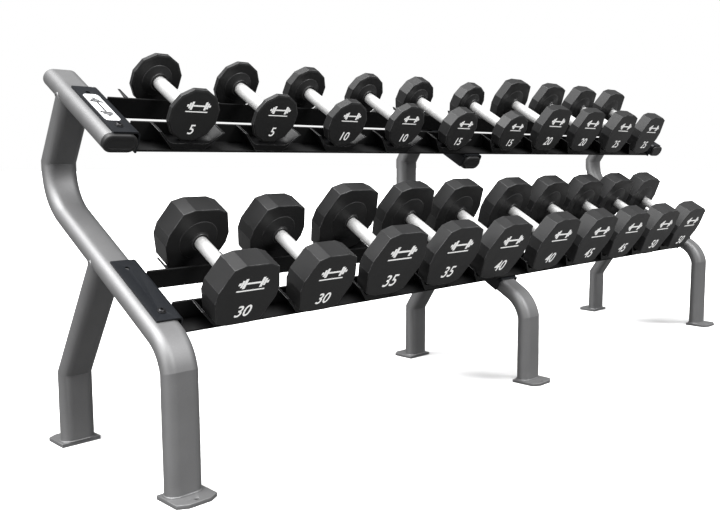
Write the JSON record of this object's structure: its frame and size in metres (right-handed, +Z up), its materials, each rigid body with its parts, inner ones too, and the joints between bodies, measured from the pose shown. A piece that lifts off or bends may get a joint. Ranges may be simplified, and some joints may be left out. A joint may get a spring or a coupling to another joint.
{
  "type": "dumbbell rack",
  "caption": "Two-tier steel rack with sloping rails and dished saddles that hold a graded set of twelve-sided dumbbells, each of which lifts off.",
  "frame": {"origin": "on the floor, at the centre of the rack's footprint", "axes": "+X along the rack, to the right of a person who stands in front of it; +Y to the rear; +Z up"},
  "size_m": [2.402, 0.553, 0.899],
  "materials": {
    "frame_paint": "satin silver-grey powder coat",
    "bracket_paint": "satin black powder coat",
    "rail_paint": "black powder coat",
    "cap_plastic": "matte black moulding",
    "saddle_plastic": "satin black moulding",
    "label": "printed film",
    "head_urethane": "iron core under a charcoal urethane coat, with a chromed steel handle"
  },
  "bodies": {
    "rack": {"left_bent_tube": "frame_paint", "left_rear_leg": "frame_paint", "left_top_tube": "frame_paint", "left_front_foot": "frame_paint", "left_rear_foot": "frame_paint", "left_end_cap": "cap_plastic", "left_lower_bracket": "bracket_paint", "left_upper_bracket": "bracket_paint", "middle_bent_tube": "frame_paint", "middle_rear_leg": "frame_paint", "middle_top_tube": "frame_paint", "middle_front_foot": "frame_paint", "middle_rear_foot": "frame_paint", "middle_end_cap": "cap_plastic", "middle_lower_bracket": "bracket_paint", "middle_upper_bracket": "bracket_paint", "right_bent_tube": "frame_paint", "right_rear_leg": "frame_paint", "right_top_tube": "frame_paint", "right_front_foot": "frame_paint", "right_rear_foot": "frame_paint", "right_end_cap": "cap_plastic", "right_lower_bracket": "bracket_paint", "right_upper_bracket": "bracket_paint", "lower_front_rail": "rail_paint", "lower_front_saddles_left": "saddle_plastic", "lower_front_saddles_right": "saddle_plastic", "lower_rear_rail": "rail_paint", "lower_rear_saddles_left": "saddle_plastic", "lower_rear_saddles_right": "saddle_plastic", "upper_front_rail": "rail_paint", "upper_front_saddles_left": "saddle_plastic", "upper_front_saddles_right": "saddle_plastic", "upper_rear_rail": "rail_paint", "upper_rear_saddles_left": "saddle_plastic", "upper_rear_saddles_right": "saddle_plastic", "label_plate": "label"},
    "dumbbell_30lb_a": {"dumbbell_30lb_a": "head_urethane"},
    "dumbbell_30lb_b": {"dumbbell_30lb_b": "head_urethane"},
    "dumbbell_35lb_a": {"dumbbell_35lb_a": "head_urethane"},
    "dumbbell_35lb_b": {"dumbbell_35lb_b": "head_urethane"},
    "dumbbell_40lb_a": {"dumbbell_40lb_a": "head_urethane"},
    "dumbbell_40lb_b": {"dumbbell_40lb_b": "head_urethane"},
    "dumbbell_45lb_a": {"dumbbell_45lb_a": "head_urethane"},
    "dumbbell_45lb_b": {"dumbbell_45lb_b": "head_urethane"},
    "dumbbell_50lb_a": {"dumbbell_50lb_a": "head_urethane"},
    "dumbbell_50lb_b": {"dumbbell_50lb_b": "head_urethane"},
    "dumbbell_5lb_a": {"dumbbell_5lb_a": "head_urethane"},
    "dumbbell_5lb_b": {"dumbbell_5lb_b": "head_urethane"},
    "dumbbell_10lb_a": {"dumbbell_10lb_a": "head_urethane"},
    "dumbbell_10lb_b": {"dumbbell_10lb_b": "head_urethane"},
    "dumbbell_15lb_a": {"dumbbell_15lb_a": "head_urethane"},
    "dumbbell_15lb_b": {"dumbbell_15lb_b": "head_urethane"},
    "dumbbell_20lb_a": {"dumbbell_20lb_a": "head_urethane"},
    "dumbbell_20lb_b": {"dumbbell_20lb_b": "head_urethane"},
    "dumbbell_25lb_a": {"dumbbell_25lb_a": "head_urethane"},
    "dumbbell_25lb_b": {"dumbbell_25lb_b": "head_urethane"}
  },
  "joints": [
    {"name": "dumbbell_30lb_a_lift", "type": "slide", "parent": "rack", "child": "dumbbell_30lb_a", "axis": [0, -0.5, 0.866], "range_m": [0, 0.25]},
    {"name": "dumbbell_30lb_b_lift", "type": "slide", "parent": "rack", "child": "dumbbell_30lb_b", "axis": [0, -0.5, 0.866], "range_m": [0, 0.25]},
    {"name": "dumbbell_35lb_a_lift", "type": "slide", "parent": "rack", "child": "dumbbell_35lb_a", "axis": [0, -0.5, 0.866], "range_m": [0, 0.25]},
    {"name": "dumbbell_35lb_b_lift", "type": "slide", "parent": "rack", "child": "dumbbell_35lb_b", "axis": [0, -0.5, 0.866], "range_m": [0, 0.25]},
    {"name": "dumbbell_40lb_a_lift", "type": "slide", "parent": "rack", "child": "dumbbell_40lb_a", "axis": [0, -0.5, 0.866], "range_m": [0, 0.25]},
    {"name": "dumbbell_40lb_b_lift", "type": "slide", "parent": "rack", "child": "dumbbell_40lb_b", "axis": [0, -0.5, 0.866], "range_m": [0, 0.25]},
    {"name": "dumbbell_45lb_a_lift", "type": "slide", "parent": "rack", "child": "dumbbell_45lb_a", "axis": [0, -0.5, 0.866], "range_m": [0, 0.25]},
    {"name": "dumbbell_45lb_b_lift", "type": "slide", "parent": "rack", "child": "dumbbell_45lb_b", "axis": [0, -0.5, 0.866], "range_m": [0, 0.25]},
    {"name": "dumbbell_50lb_a_lift", "type": "slide", "parent": "rack", "child": "dumbbell_50lb_a", "axis": [0, -0.5, 0.866], "range_m": [0, 0.25]},
    {"name": "dumbbell_50lb_b_lift", "type": "slide", "parent": "rack", "child": "dumbbell_50lb_b", "axis": [0, -0.5, 0.866], "range_m": [0, 0.25]},
    {"name": "dumbbell_5lb_a_lift", "type": "slide", "parent": "rack", "child": "dumbbell_5lb_a", "axis": [0, -0.5, 0.866], "range_m": [0, 0.25]},
    {"name": "dumbbell_5lb_b_lift", "type": "slide", "parent": "rack", "child": "dumbbell_5lb_b", "axis": [0, -0.5, 0.866], "range_m": [0, 0.25]},
    {"name": "dumbbell_10lb_a_lift", "type": "slide", "parent": "rack", "child": "dumbbell_10lb_a", "axis": [0, -0.5, 0.866], "range_m": [0, 0.25]},
    {"name": "dumbbell_10lb_b_lift", "type": "slide", "parent": "rack", "child": "dumbbell_10lb_b", "axis": [0, -0.5, 0.866], "range_m": [0, 0.25]},
    {"name": "dumbbell_15lb_a_lift", "type": "slide", "parent": "rack", "child": "dumbbell_15lb_a", "axis": [0, -0.5, 0.866], "range_m": [0, 0.25]},
    {"name": "dumbbell_15lb_b_lift", "type": "slide", "parent": "rack", "child": "dumbbell_15lb_b", "axis": [0, -0.5, 0.866], "range_m": [0, 0.25]},
    {"name": "dumbbell_20lb_a_lift", "type": "slide", "parent": "rack", "child": "dumbbell_20lb_a", "axis": [0, -0.5, 0.866], "range_m": [0, 0.25]},
    {"name": "dumbbell_20lb_b_lift", "type": "slide", "parent": "rack", "child": "dumbbell_20lb_b", "axis": [0, -0.5, 0.866], "range_m": [0, 0.25]},
    {"name": "dumbbell_25lb_a_lift", "type": "slide", "parent": "rack", "child": "dumbbell_25lb_a", "axis": [0, -0.5, 0.866], "range_m": [0, 0.25]},
    {"name": "dumbbell_25lb_b_lift", "type": "slide", "parent": "rack", "child": "dumbbell_25lb_b", "axis": [0, -0.5, 0.866], "range_m": [0, 0.25]}
  ]
}
